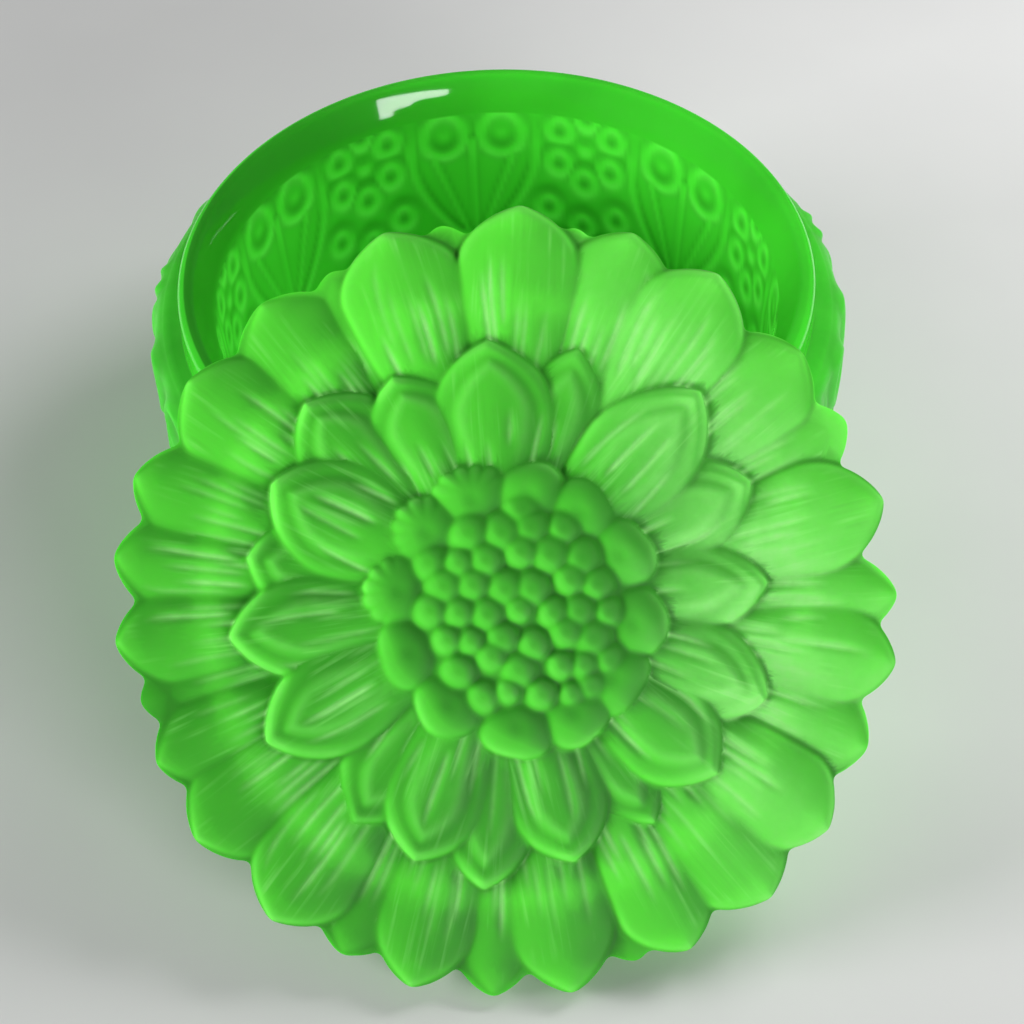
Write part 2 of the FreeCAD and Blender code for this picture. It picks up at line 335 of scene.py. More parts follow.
def arc_points(centre: Point, radius: float, start: float, end: float, count: int) -> list:
    """Points on an arc in a section, angles in degrees from the outward direction.

    Args:
        centre: centre of the arc, out and up.
        radius: its radius.
        start: first angle.
        end: last angle.
        count: number of steps.

    Returns:
        count + 1 points.
    """
    angles = [math.radians(start + (end - start) * k / count) for k in range(count + 1)]
    return [(centre[0] + radius * math.cos(a), centre[1] + radius * math.sin(a)) for a in angles]


def spun(name: str, section: Sequence[Point], steps: int) -> bpy.types.Object:
    """Draw a section point by point and spin it round the Z axis.

    Args:
        name: the new piece's name.
        section: points, out from the axis and up, in millimetres.
        steps: how many columns the spin makes.

    Returns:
        The spun piece, open at the section's two ends unless they lie on the axis.
    """
    deselect()
    out, up = section[0]
    bpy.ops.mesh.primitive_plane_add(size=MM, location=(0, 0, 0))
    piece = bpy.context.object
    piece.name = name
    piece.data.name = name
    bpy.ops.object.mode_set(mode="EDIT")
    bpy.ops.mesh.select_all(action="SELECT")
    bpy.ops.mesh.merge(type="CENTER")
    bpy.ops.transform.translate(value=(out * MM, 0, up * MM))
    for (x0, z0), (x1, z1) in zip(section, section[1:]):
        step = ((x1 - x0) * MM, 0, (z1 - z0) * MM)
        bpy.ops.mesh.extrude_vertices_move(TRANSFORM_OT_translate={"value": step})
    bpy.ops.mesh.select_all(action="SELECT")
    bpy.ops.mesh.spin(steps=steps, angle=TURN, center=(0, 0, 0), axis=(0, 0, 1), use_auto_merge=True)
    bpy.ops.mesh.select_all(action="SELECT")
    bpy.ops.mesh.remove_doubles(threshold=1e-6)
    bpy.ops.object.mode_set(mode="OBJECT")
    return piece


def coordinates(piece: bpy.types.Object) -> Array:
    """The piece's vertices, one row each, in millimetres."""
    flat = np.empty(len(piece.data.vertices) * 3)
    piece.data.vertices.foreach_get("co", flat)
    return flat.reshape(-1, 3) / MM


def set_coordinates(piece: bpy.types.Object, points: Array) -> None:
    """Move the piece's vertices to these points, in millimetres."""
    piece.data.vertices.foreach_set("co", (points * MM).ravel())
    piece.data.update()


def set_attribute(piece: bpy.types.Object, name: str, values: Array) -> None:
    """Store one number at each vertex of the piece."""
    layer = piece.data.attributes.new(name, "FLOAT", "POINT")
    layer.data.foreach_set("value", np.ascontiguousarray(values, dtype=np.float32))


def apply_modifier(piece: bpy.types.Object, kind: str, **settings: object) -> None:
    """Add a modifier to the piece and apply it.

    Args:
        piece: the piece to change.
        kind: the modifier's type.
        settings: its settings.
    """
    pick(piece)
    modifier = piece.modifiers.new(kind.lower(), kind)
    for name, value in settings.items():
        setattr(modifier, name, value)
    bpy.ops.object.modifier_apply(modifier=modifier.name)


def thin_out(piece: bpy.types.Object, triangles: int) -> None:
    """Merge the flattest faces until about that many triangles are left."""
    count = sum(len(face.vertices) - 2 for face in piece.data.polygons)
    if count > triangles:
        apply_modifier(piece, "DECIMATE", ratio=triangles / count)


def divide(piece: bpy.types.Object, levels: int) -> None:
    """Split every face of the piece in four, levels times, without moving it."""
    settings = {"subdivision_type": "SIMPLE", "levels": levels, "render_levels": levels}
    apply_modifier(piece, "SUBSURF", **settings)


def loop_near(piece: bpy.types.Object, level: float, out: float) -> None:
    """Select the open edges of the piece that lie near a level and a distance from the axis."""
    bpy.ops.object.mode_set(mode="OBJECT")
    points = coordinates(piece)
    near = (np.abs(points[:, 2] - level) < 0.6) & (np.abs(polar(points)[0] - out) < 1.2)
    for edge in piece.data.edges:
        first, second = edge.vertices
        edge.select = edge.select and bool(near[first]) and bool(near[second])
    bpy.ops.object.mode_set(mode="EDIT")


def join_at_seam(piece: bpy.types.Object, other: bpy.types.Object) -> None:
    """Join two pieces, bridge the open loops where they meet and face everything outwards.

    Args:
        piece: the piece that stays.
        other: a spun piece, whose first ring of points is its open loop.
    """
    out, _, level = coordinates(other)[0]
    pick(piece, other)
    bpy.ops.object.join()
    bpy.ops.object.mode_set(mode="EDIT")
    bpy.ops.mesh.select_mode(type="EDGE")
    bpy.ops.mesh.select_all(action="DESELECT")
    bpy.ops.mesh.select_non_manifold(extend=False, use_multi_face=False, use_non_contiguous=False)
    loop_near(piece, level, abs(out))
    bpy.ops.mesh.bridge_edge_loops(type="PAIRS")
    bpy.ops.mesh.select_all(action="SELECT")
    bpy.ops.mesh.normals_make_consistent(inside=False)
    bpy.ops.mesh.select_mode(type="VERT")
    bpy.ops.object.mode_set(mode="OBJECT")


def smooth_shade(piece: bpy.types.Object) -> None:
    """Shade the piece smooth all over."""
    pick(piece)
    bpy.ops.object.shade_smooth()


def polar(points: Array) -> tuple[Array, Array]:
    """Distance from the axis and angle in radians of each point."""
    return np.hypot(points[:, 0], points[:, 1]), np.arctan2(points[:, 1], points[:, 0])


def bump_of(distance: Array, width: float) -> Array:
    """A smooth ridge: 1 where distance is 0, fading over width."""
    return np.exp(-((distance / width) ** 2))


def ramp(values: Array, low: float, high: float) -> Array:
    """0 below low, 1 above high, and a smooth step between."""
    part = np.clip((values - low) / (high - low), 0, 1)
    return part * part * (3 - 2 * part)


# ---------------------------------------------------------------- relief maps


class ReliefMap:
    """Heights and finish marks on an even grid, in millimetres, read back at any point."""

    def __init__(self, low: Point, high: Point, pitch: float) -> None:
        """Lay out an empty map.

        Args:
            low: lowest corner.
            high: highest corner.
            pitch: distance between grid points.
        """
        self.low = low
        self.pitch = pitch
        columns = round((high[0] - low[0]) / pitch)
        rows = round((high[1] - low[1]) / pitch)
        across = low[0] + pitch * np.arange(columns)
        up = low[1] + pitch * np.arange(rows)
        self.x, self.y = np.meshgrid(across, up)
        self.layers: dict[str, Array] = {}

    def window(self, spot: Point, reach: float) -> tuple[slice, slice]:
        """The rows and columns of the grid within reach of a spot."""
        spans = []
        for place, start, count in zip(reversed(spot), reversed(self.low), self.x.shape):
            first = int((place - reach - start) / self.pitch)
            last = int((place + reach - start) / self.pitch) + 2
            spans.append(slice(max(first, 0), min(last, count)))
        return spans[0], spans[1]

    def read(self, name: str, x: Array, y: Array) -> Array:
        """Read a layer at any points; the grid repeats beyond its sides.

        Args:
            name: the layer.
            x: across.
            y: up.

        Returns:
            The layer's value at each point.
        """
        layer = self.layers[name]
        rows, columns = layer.shape
        across = (x - self.low[0]) / self.pitch
        up = (y - self.low[1]) / self.pitch
        left, below = np.floor(across).astype(int), np.floor(up).astype(int)
        part_x, part_y = across - left, up - below
        lower = layer[below % rows, left % columns] * (1 - part_x)
        lower += layer[below % rows, (left + 1) % columns] * part_x
        upper = layer[(below + 1) % rows, left % columns] * (1 - part_x)
        upper += layer[(below + 1) % rows, (left + 1) % columns] * part_x
        return lower * (1 - part_y) + upper * part_y

    def softened(self, name: str, radius: float) -> Array:
        """A copy of a layer with everything smaller than radius rubbed away."""
        layer = self.layers[name]
        across = np.fft.rfftfreq(layer.shape[1], self.pitch)[None, :]
        up = np.fft.fftfreq(layer.shape[0], self.pitch)[:, None]
        keep = np.exp(-2 * (math.pi * radius) ** 2 * (across**2 + up**2))
        return np.fft.irfft2(np.fft.rfft2(layer) * keep, layer.shape)

    def mark_hollows(self, fine: float, broad: float) -> None:
        """Add layers that say how far each point lies in a crease and in a broad hollow.

        Args:
            fine: size of a crease.
            broad: size of a broad hollow.
        """
        self.layers["crevice"] = self.softened("height", fine) - self.layers["height"]
        self.layers["valley"] = self.softened("height", broad) - self.layers["height"]

    def mark_flanks(self, radius: float, toward: Point) -> None:
        """Add a layer that says how far each flank faces a side, from -1 to 1 and beyond.

        Args:
            radius: smaller shapes than this are rubbed away first.
            toward: the side, across and up.
        """
        soft = self.softened("height", radius)
        up, across = np.gradient(soft, self.pitch)
        self.layers["flank"] = -(across * toward[0] + up * toward[1])


# ---------------------------------------------------------------- lid


class Row(Enum):
    """Which ring of the flower a petal belongs to."""

    OUTER = "outer"
    INNER = "inner"


@dataclass(frozen=True)
class Petal:
    """One petal of the sunflower, in millimetres on the lid's own face.

    turn is its direction in degrees, reach its tip's distance from the axis, rank how
    high it lies over its neighbours and shoulder how far in from its tip it is widest.
    """

    row: Row
    turn: float
    reach: float
    width: float
    rank: float = 1.0
    shoulder: float = 12.0

    @property
    def root(self) -> float:
        """How far from the axis the petal starts."""
        return 32.0 if self.row is Row.OUTER else 15.0

    @property
    def level(self) -> float:
        """Height of the petal's face at its root."""
        return 2.6 + 1.2 * self.rank if self.row is Row.OUTER else 7.4 + 0.9 * self.rank

    def centre(self) -> Point:
        """The middle of the petal."""
        angle = math.radians(self.turn)
        middle = (self.root + self.reach) / 2
        return middle * math.cos(angle), middle * math.sin(angle)

    def half_width(self, out: Array) -> Array:
        """Half the petal's width at a distance out from the axis."""
        blunt = (1 - np.clip(1 - (self.reach - out) / self.shoulder, 0, 1) ** 2) ** 0.70
        belly = self.reach - self.shoulder
        waist = np.clip((belly - out) / (belly - self.root), 0, 1) ** 1.4
        narrow = 0.42 if self.row is Row.OUTER else 0.34
        return self.width / 2 * blunt * (1 - narrow * waist) + 1e-6

    def creases(self) -> Array:
        """Rows of place across, start, end and depth, one for each crease."""
        outer = self.row is Row.OUTER
        draw = np.random.default_rng(int(self.turn) + (400 if outer else 0))
        count = max(2, round(self.width / (2.9 if outer else 5.0)))
        place = np.linspace(-0.58, 0.58, count) + draw.normal(0, 0.06, count)
        start = draw.uniform(0.10, 0.36, count)
        end = start + draw.uniform(0.28, 0.58, count)
        depth = draw.uniform(0.10, 0.36, count)
        return np.column_stack((place, start, np.minimum(end, 0.93), depth))

    def press(self, relief: ReliefMap) -> None:
        """Press the petal into the relief wherever it lies on top."""
        size = math.hypot(self.reach - self.root, self.width) / 2 + 1
        part = relief.window(self.centre(), size)
        x, y = relief.x[part], relief.y[part]
        angle = math.radians(self.turn)
        out = x * math.cos(angle) + y * math.sin(angle)
        side = -x * math.sin(angle) + y * math.cos(angle)
        along = np.clip((out - self.root) / (self.reach - self.root), 0, 1)
        half = self.half_width(out)
        slope = (self.half_width(out + 0.1) - self.half_width(out - 0.1)) / 0.2
        inset = (half - np.abs(side)) / np.sqrt(1 + slope**2)
        inside = (inset > 0) & (out > self.root) & (out < self.reach)
        across = np.clip(side / half, -1, 1)
        outer = self.row is Row.OUTER
        rim, lip, fall, crown = (1.2, 1.1, 2.2, 1.9) if outer else (1.4, 1.2, 2.2, 1.9)
        top = self.level - fall * along**1.3 + crown * (1 - across**2) * (1 - 0.4 * along)
        rounded = np.clip(1 - inset / rim, 0, 1)
        top = top - lip * (1 - np.sqrt(1 - rounded**2))
        fold = np.zeros(x.shape)
        for place, start, end, depth in self.creases():
            bend = place * (1 + 0.12 * np.sin(5 * along + self.turn))
            line = bump_of((across - bend) * half, 0.44)
            line = line * ramp(along, start, start + 0.12) * (1 - ramp(along, end - 0.2, end))
            fold = np.maximum(fold, line * depth / 0.36)
        top = top - 0.42 * fold
        if not outer:
            arch = bump_of(inset - 3.6, 1.2) * ramp(along, 0.12, 0.5)
            ridge = bump_of(inset - 5.2, 1.1) * ramp(along, 0.12, 0.5)
            top = top - 0.22 * arch + 0.08 * ridge
            fold = np.maximum(fold, 0.14 * ridge)
        wins = inside & (top > relief.layers["height"][part])
        marks = {
            "height": top,
            "crease": fold,
            "along": along * (self.reach - self.root),
            "across": side + 37.0 * self.turn,
            "streak": ramp(inset, 0.6, 2.6) * (0.35 + 0.65 * ramp(along, 0.02, 0.3)),
            "inner": np.full(x.shape, 0.0 if outer else 1.0),
        }
        for name, mark in marks.items():
            layer = relief.layers[name]
            layer[part] = np.where(wins, mark, layer[part])
        if outer:
            relief.layers["cover"][part] = np.maximum(relief.layers["cover"][part], inside)


@dataclass(frozen=True)
class SeedHead:
    """The domed centre: lumps round its edge and close-packed seeds inside."""

    centre: Point = (2.2, -1.8)
    radius: float = 23.4
    level: float = 8.6
    rise: float = 4.2
    lump_ring: float = 18.6
    lump_radius: float = 5.9
    lump_level: float = 9.4
    lump_rise: float = 1.9
    lump_turns: tuple = (27, 56, 83, 111, 138, 169, 199, 232, 268, 297, 323, 352)
    notched: tuple = (111, 138, 169)
    seed_pitch: float = 4.9
    seed_field: float = 17.0
    seed_rise: float = 1.0
    seed_shake: float = 0.65

    def press_lump(self, relief: ReliefMap, turn: float) -> None:
        """Press one lump of the head's edge; the notched ones have teeth outside."""
        angle = math.radians(turn)
        shift = 0.8 if turn in self.notched else 0.0
        cx = self.centre[0] + (self.lump_ring + shift) * math.cos(angle)
        cy = self.centre[1] + (self.lump_ring + shift) * math.sin(angle)
        part = relief.window((cx, cy), self.lump_radius * 1.4)
        dx, dy = relief.x[part] - cx, relief.y[part] - cy
        bearing = np.arctan2(dy, dx) - angle
        reach = self.lump_radius * (1 - 0.08 * np.cos(2 * bearing) + 0.05 * np.cos(3 * bearing + turn))
        if turn in self.notched:
            front = ramp(np.cos(bearing), -0.1, 0.5)
            teeth = np.abs(np.cos(6.5 * bearing)) ** 0.7
            reach = reach * (1.02 + front * (0.09 * teeth - 0.03))
        far = np.hypot(dx, dy) / reach
        top = self.lump_level + self.lump_rise * np.clip(1 - far**2.4, 0, 1) ** 0.55
        top = top - 0.10 * bump_of(np.hypot(dx, dy), 1.2)
        self.settle(relief, part, np.where(far < 1, top, 0))

    def press_seeds(self, relief: ReliefMap) -> None:
        """Press the dome with its honeycomb of seeds."""
        part = relief.window(self.centre, self.radius)
        x, y = relief.x[part] - self.centre[0], relief.y[part] - self.centre[1]
        far = np.hypot(x, y) / self.radius
        dome = self.level + self.rise * np.sqrt(np.clip(1 - far**2, 0, 1))
        shake = np.random.default_rng(11)
        near = np.full(x.shape, 99.0)
        rows = int(self.seed_field / self.seed_pitch) + 2
        for row in range(-rows, rows + 1):
            for column in range(-rows, rows + 1):
                cx = (column + 0.5 * (row % 2)) * self.seed_pitch + shake.normal(0, self.seed_shake)
                cy = row * self.seed_pitch * math.sqrt(3) / 2 + shake.normal(0, self.seed_shake)
                size = 1.0 + shake.normal(0, 0.10) + 0.010 * cy
                if math.hypot(cx, cy) < self.seed_field:
                    near = np.minimum(near, np.hypot(x - cx, y - cy) / size)
        share = np.clip(near / (0.64 * self.seed_pitch), 0, 1)
        seeds = self.seed_rise * (1 - share**2.8) - 0.06 * bump_of(near, 0.75) - 0.9
        self.settle(relief, part, np.where(far < 1, dome + seeds, 0))

    def settle(self, relief: ReliefMap, part: tuple[slice, slice], top: Array) -> None:
        """Keep a pressed shape wherever it lies on top."""
        wins = top > relief.layers["height"][part]
        for name, mark in (("height", top), ("crease", 0.0), ("streak", 0.0), ("inner", 2.0)):
            layer = relief.layers[name]
            layer[part] = np.where(wins, mark, layer[part])

    def press(self, relief: ReliefMap) -> None:
        """Press the whole head."""
        self.press_seeds(relief)
        for turn in self.lump_turns:
            self.press_lump(relief, turn)


@dataclass
class Lid:
    """The sunflower lid: relief face, scalloped edge, seat ring and shallow hollow.

    Each petal is its turn, reach, width, rank and shoulder.
    """

    radius: float = 64.3
    petal_reach: float = 65.0
    lean: float = 39.5
    petal_top: float = 4.6
    plate_top: float = 4.0
    seat_ring: float = 50.0
    seat_ring_width: float = 3.4
    seat_ring_depth: float = 3.6
    hollow: float = 2.5
    columns: int = 240
    pitch: float = 1.05
    face_triangles: int = 175000
    map_reach: float = 67.0
    map_pitch: float = 0.15
    bright_side: Point = (-0.75, -0.66)
    head: SeedHead = field(default_factory=SeedHead)

    outer_petals: tuple = (
        (359, 64.3, 14.5, 0.9, 10.5), (13, 64.2, 18.5, 2.0, 12.0), (26, 63.3, 14.0, 0.4, 9.0),
        (38, 63.6, 18.5, 1.4, 7.5), (55, 64.0, 20.5, 2.4, 10.5), (69, 64.0, 18.5, 1.7, 9.0),
        (77.5, 62.4, 13.0, 0.4, 8.5), (86, 65.0, 20.5, 2.2, 10.5), (98, 62.6, 13.0, 0.3, 8.5),
        (106.5, 63.6, 21.0, 2.1, 10.0), (116.5, 61.2, 15.0, 0.6, 9.0), (128, 63.2, 19.0, 1.1, 7.5),
        (144, 63.4, 19.5, 1.5, 7.8), (160, 64.3, 18.5, 1.0, 11.5), (172, 64.6, 16.5, 0.9, 9.5),
        (184.5, 64.3, 16.0, 1.1, 9.5), (194, 62.0, 10.5, 0.2, 6.0), (203.5, 63.0, 15.0, 1.0, 8.0),
        (216, 64.0, 18.0, 1.4, 8.0), (232, 64.6, 19.0, 2.0, 10.0), (243.5, 63.6, 16.0, 0.8, 9.0),
        (254.5, 64.9, 17.0, 1.6, 11.0), (266.5, 64.6, 15.5, 0.8, 11.0), (278, 64.9, 18.5, 1.5, 12.5),
        (288.5, 62.6, 12.0, 0.3, 7.5), (296, 64.4, 16.5, 1.9, 9.0), (310, 65.0, 20.0, 2.0, 9.5),
        (323, 64.6, 17.5, 2.6, 8.5), (336, 64.0, 17.0, 1.0, 8.5), (349, 64.8, 16.5, 1.6, 10.0),
    )
    inner_petals: tuple = (
        (2, 42.8, 16.5, 0.7, 14.0), (24, 44.4, 17.0, 0.6, 12.0), (45, 46.4, 19.0, 1.8, 15.5),
        (72, 42.8, 16.0, 0.0, 12.0), (92, 42.4, 21.0, 1.4, 12.5), (115, 40.6, 18.5, 0.9, 9.5),
        (134, 45.8, 18.5, 0.1, 10.0), (152, 42.4, 20.5, 1.5, 13.0), (169, 42.6, 18.0, 0.0, 10.0),
        (186, 45.2, 18.0, 1.0, 14.5), (209, 45.0, 18.0, 1.3, 14.0), (234, 43.8, 16.5, 0.2, 11.0),
        (249, 44.6, 17.5, 1.4, 11.0), (264, 47.0, 17.0, 0.1, 13.0), (283, 43.8, 17.5, 1.1, 11.0),
        (302, 43.6, 15.5, 0.1, 11.0), (319, 44.4, 18.0, 1.6, 11.0), (338, 45.4, 17.5, 0.8, 13.0),
    )

    def relief(self) -> ReliefMap:
        """Press every petal and the head into a map of the lid's face."""
        reach = self.map_reach
        relief = ReliefMap((-reach, -reach), (reach, reach), self.map_pitch)
        out = np.hypot(relief.x, relief.y)
        plain = 2.4 + 4.4 * (1 - ramp(out, 20, 52))
        relief.layers = {"height": plain}
        for name in ("crease", "along", "across", "streak", "inner", "cover"):
            relief.layers[name] = np.zeros(out.shape)
        for row, petals in ((Row.OUTER, self.outer_petals), (Row.INNER, self.inner_petals)):
            for sizes in petals:
                Petal(row, *sizes).press(relief)
        self.head.press(relief)
        relief.layers["height"] = relief.softened("height", 0.22)
        relief.mark_hollows(0.7, 3.0)
        relief.mark_flanks(0.45, self.bright_side)
        return relief

    def edge(self, relief: ReliefMap, angle: Array) -> Array:
        """How far out the scalloped edge lies in each direction.

        Args:
            relief: the pressed face.
            angle: directions in radians.

        Returns:
            Distances from the axis.
        """
        grid = np.linspace(0, TURN, 2880, endpoint=False)
        outs = np.arange(54.0, 65.6, 0.05)
        covered = relief.read("cover", np.cos(grid)[:, None] * outs, np.sin(grid)[:, None] * outs) > 0.5
        reach = outs[covered.shape[1] - 1 - covered[:, ::-1].argmax(1)]
        soft = sum(np.roll(reach, k) for k in range(-7, 8)) / 15
        return np.interp(np.mod(angle, TURN), np.append(grid, TURN), np.append(soft, soft[0]))

    def face_section(self) -> list[Point]:
        """Section of the face and edge, from the axis out and back in to the seat ring."""
        top = self.plate_top
        section = [(0.0, top)]
        section += steps_between((0, top), (self.radius, top), self.pitch)
        section += steps_between((self.radius, top), (self.radius, 0.5), 1.2)
        section += [(self.radius - 0.4, 0.0)]
        section += steps_between((self.radius - 0.4, 0), (self.seat_ring, 0), 3.6)
        return section

    def under_section(self) -> list[Point]:
        """Section of the seat ring and the hollow, from the plate in to the axis."""
        outer, inner = self.seat_ring, self.seat_ring - self.seat_ring_width
        low, soft = -self.seat_ring_depth, 0.8
        section = [(outer, -0.25)]
        section += steps_between((outer, -0.25), (outer, low + soft), 0.7)
        section += arc_points((outer - soft, low + soft), soft, 0, -90, 5)[1:]
        section += arc_points((inner + soft, low + soft), soft, -90, -180, 5)
        section += steps_between((inner, low + soft), (inner, self.hollow - soft), 0.8)
        section += arc_points((inner - soft, self.hollow - soft), soft, 0, 90, 5)[1:]
        section += steps_between((inner - soft, self.hollow), (0, self.hollow), 3.0)
        return section

    def press(self, blank: bpy.types.Object, relief: ReliefMap) -> None:
        """Give the blank its scalloped edge and its relief.

        Args:
            blank: the spun plate.
            relief: the pressed face.
        """
        points = coordinates(blank)
        out, angle = polar(points)
        share = np.clip((out - self.seat_ring) / (self.radius - self.seat_ring), 0, 1)
        new_out = out + share * (self.edge(relief, angle) - self.radius)
        x, y = new_out * np.cos(angle), new_out * np.sin(angle)
        tip_lift = 0.7 * ramp(new_out, 55.0, 65.0)
        rise = points[:, 2] / self.plate_top
        height = tip_lift + rise * (relief.read("height", x, y) - tip_lift)
        set_coordinates(blank, np.column_stack((x, y, height)))

    def dress(self, piece: bpy.types.Object, relief: ReliefMap) -> None:
        """Store what the glass shader reads, and give the piece its glass.

        Args:
            piece: the lid, still flat.
            relief: the pressed face.
        """
        x, y, z = coordinates(piece).T
        out = np.hypot(x, y)
        read = {name: relief.read(name, x, y) for name in relief.layers}
        face = z > read["height"] - 0.6
        head, petals = read["inner"] > 1.5, read["inner"] > 0.5
        crevice = np.where(face, read["crevice"] / 0.30, 0)
        valley = np.where(face, read["valley"] / 1.1, 0)
        flank = np.where(face, np.tanh(read["flank"] / 0.35), 0)
        bright, dark, edge = (np.clip(part, 0, 1) for part in (flank, -flank, -crevice))

        # the thickness mark is partly the glass's own thickness (seed head, petals, thin petal tips)
        # and partly
        # painted light and shade: a painted glow over the seat ring below, painted shade in broad
        # hollows, a painted highlight on ridges, painted light and shade on flanks by the side they
        # face, and the glass painted lighter towards the upper right and darker towards the lower left
        ring_glow = bump_of(out - 48.6, 2.2) * (read["inner"] < 0.5)
        across = np.clip((x + 0.8 * y) / 70, -1, 1)
        thickness_and_painted_light = np.select([head, petals], [0.66, 0.54], 0.38) - 0.42 * ring_glow
        thickness_and_painted_light = thickness_and_painted_light + 0.16 * np.clip(valley, -1, 1) - 0.35 * ramp(out, 59.0, 64.5) - 0.12 * edge
        thickness_and_painted_light = thickness_and_painted_light + 0.08 - 0.50 * bright + 0.40 * dark - 0.36 * across

        # painted light: the right side is whitened as if lit through the glass, most of all between the
        # petals and on flanks that face the bright side; ridges get a painted highlight, creases their
        # frosted white
        right = ramp(x + 0.25 * y, 16.0, 40.0) * (0.35 + 0.65 * (1 - ramp(out, 42.0, 60.0)))
        pale = 1.1 * read["crease"] * face + 0.25 * edge
        pale = pale + 0.95 * right * np.clip(flank + 0.8, 0.15, 1)
        # painted shade: in creases (less on the seed head), in broad hollows, on flanks that face away
        # from the bright side, and towards the lower left
        shade = np.where(head, 0.25, 0.45) * np.clip(crevice, 0, 1) + 0.30 * np.clip(valley, 0, 1)
        shade = shade + 0.50 * dark + 0.34 * np.clip(-across, 0, 1)

        marks = {"thickness_and_painted_light": thickness_and_painted_light, "pale": pale, "shade": shade, "frost": np.ones(len(x))}
        marks["streak"] = np.where(face, read["streak"], 0)
        for name, values in marks.items():
            set_attribute(piece, name, np.clip(values, 0, 1))
        for name in ("along", "across"):
            set_attribute(piece, name, read[name])
        piece.data.materials.append(LID_GLASS.material())

    def place(self) -> Matrix:
        """Where the lid leans, worked out from the lid's box in the frame."""
        low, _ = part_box("lid")
        tilt = math.radians(self.lean)
        reach = self.petal_reach * MM
        front = low.y + reach * math.cos(tilt) + self.petal_top * MM * math.sin(tilt)
        up = low.z + reach * math.sin(tilt)
        return Matrix.Translation((0, front, up)) @ Matrix.Rotation(tilt, 4, "X")

    def build(self) -> bpy.types.Object:
        """Model the lid, dress it and lean it.

        Returns:
            The finished piece.
        """
        relief = self.relief()
        piece = spun("lid_glass", self.face_section(), self.columns)
        divide(piece, 2)
        self.press(piece, relief)
        thin_out(piece, self.face_triangles)
        under = spun("lid_under", self.under_section(), self.columns)
        join_at_seam(piece, under)
        self.dress(piece, relief)
        smooth_shade(piece)
        piece.data.transform(self.place())
        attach(piece, "lid")
        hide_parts("lid")
        return piece


# ---------------------------------------------------------------- bowl


@dataclass(frozen=True)
class BowlRelief:
    """Palmettes and ring flowers in turn round the wall, in millimetres."""

    count: int = 7
    wall: float = 61.8
    proud: float = 1.7
    turn: float = 4.5
    curl_level: float = 39.0
    curl_spread: float = 7.0
    curl_radius: float = 4.9
    stem_level: float = 12.5
    flower_level: float = 36.5
    flower_spread: float = 7.6
    ring_radius: float = 2.5
    berries: tuple = ((-9.0, 21.8), (0.0, 18.2), (9.0, 21.8), (-4.5, 12.0), (4.5, 12.0))
    map_columns: int = 400

    def ring(self, a: Array, z: Array, centre: Point, radius: float) -> Array:
        """A small raised ring with a hollow centre, 0 to 1."""
        far = np.hypot(a - centre[0], z - centre[1])
        return bump_of(far - radius, 1.5) + 0.25 * bump_of(far, 1.0)

    def stem(self, a: Array, z: Array, start: Point, end: Point) -> Array:
        """A straight ridge from start to end that widens upwards, 0 to 1."""
        dx, dz = end[0] - start[0], end[1] - start[1]
        along = np.clip(((a - start[0]) * dx + (z - start[1]) * dz) / (dx * dx + dz * dz), 0, 1)
        far = np.hypot(a - start[0] - along * dx, z - start[1] - along * dz)
        return bump_of(far, 0.55 + 0.5 * along)

    def palmette(self, a: Array, z: Array) -> Array:
        """Two curls over three stems inside a fan that narrows to its foot."""
        top = np.zeros(a.shape)
        for side in (-1, 1):
            curl = (side * self.curl_spread, self.curl_level)
            top = np.maximum(top, self.ring(a, z, curl, self.curl_radius))
            stem_top = (side * self.curl_spread * 1.35, self.curl_level - self.curl_radius - 1.2)
            top = np.maximum(top, 0.8 * self.stem(a, z, (side * 0.8, self.stem_level), stem_top))
        middle_top = (0, self.curl_level - 2)
        top = np.maximum(top, 0.85 * self.stem(a, z, (0, self.stem_level), middle_top))
        rise = np.clip((z - self.stem_level) / (self.curl_level - self.stem_level), 0, 1.2)
        half = 15.2 * np.sin(rise * 1.75) ** 0.8 + 0.3
        scroll = bump_of(np.abs(a) - half, 1.3) * ramp(rise, 0.0, 0.1) * (1 - ramp(rise, 0.9, 1.15))
        fan = -0.30 * ramp(half - np.abs(a), 0.0, 2.0) * ramp(rise, 0.02, 0.2)
        fan = fan * (1 - ramp(rise, 0.7, 0.9))
        return np.maximum(top, 0.7 * scroll) + fan

    def flower(self, a: Array, z: Array) -> Array:
        """Six rings round a button, with berries hanging below."""
        top = bump_of(np.hypot(a, z - self.flower_level), 1.7)
        for petal in range(6):
            angle = math.radians(60 * petal + 30)
            x = self.flower_spread * math.cos(angle)
            up = self.flower_level + self.flower_spread * math.sin(angle)
            top = np.maximum(top, self.ring(a, z, (x, up), self.ring_radius))
        for spot in self.berries:
            top = np.maximum(top, self.ring(a, z, spot, self.ring_radius * 0.95))
        return top

    def around(self, angle: Array) -> Array:
        """Distance round the wall, from the first flower, of each direction in radians."""
        return (angle + math.pi / 2 - math.radians(self.turn)) * self.wall

    def map(self) -> ReliefMap:
        """One repeat of the pattern: distance round the wall across, height up."""
        step = TURN * self.wall / self.count
        relief = ReliefMap((-step / 2, 0.0), (step / 2, step), step / self.map_columns)
        a, z = relief.x, relief.y
        beside = np.mod(a + step, step) - step / 2
        top = np.maximum(self.flower(a, z), self.palmette(beside, z))
        relief.layers["height"] = np.clip(0.3 + 0.7 * top, 0, 1)
        relief.layers["height"] = relief.softened("height", 0.25)
        relief.mark_hollows(0.9, 3.0)
        soft = relief.softened("height", 0.45)
        relief.layers["slope"] = np.roll(soft, -3, axis=0) - np.roll(soft, 3, axis=0)
        return relief


